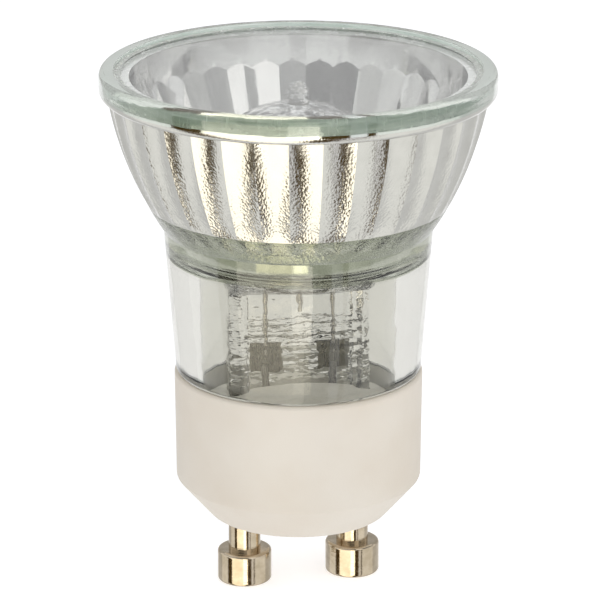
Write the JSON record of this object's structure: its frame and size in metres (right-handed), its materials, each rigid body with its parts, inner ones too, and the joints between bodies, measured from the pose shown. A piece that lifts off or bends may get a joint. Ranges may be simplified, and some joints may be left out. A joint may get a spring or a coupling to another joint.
{
  "type": "gu10 spotlight bulb",
  "caption": "Halogen reflector spotlight bulb: fluted pressed-glass bowl with a faceted mirror and front glass, clear neck with a quartz burner, bevelled ceramic twist-lock base with pins.",
  "frame": {"origin": "on the lamp's axis, in the plane of the undersides of the contact pins", "axes": "+Z along the lamp's axis from the pins to the front glass, X through both pins"},
  "size_m": [0.035, 0.035, 0.0476],
  "materials": {
    "reflector_glass": "clear pressed glass, mirrored inside the bowl",
    "cover_glass": "clear flat glass",
    "seal": "clear adhesive",
    "quartz": "clear quartz",
    "tungsten": "dark drawn wire",
    "molybdenum": "drawn wire and rolled foil",
    "nickel_wire": "drawn wire",
    "sleeve": "matte",
    "ceramic": "unglazed, satin",
    "cement": "rough matte",
    "nickel": "nickel plate"
  },
  "bodies": {
    "root": {"reflector": "reflector_glass", "cover_glass": "cover_glass", "cover_seal": "seal", "capsule": "quartz", "filament": "tungsten", "filament_support": "molybdenum", "inner_lead_left": "molybdenum", "inner_lead_right": "molybdenum", "foil_left": "molybdenum", "foil_right": "molybdenum", "lead_left": "nickel_wire", "lead_right": "nickel_wire", "fuse_sleeve": "sleeve", "base_body": "ceramic", "base_cement": "cement", "capsule_cement": "cement", "pin_left": "nickel", "pin_right": "nickel"}
  },
  "joints": []
}
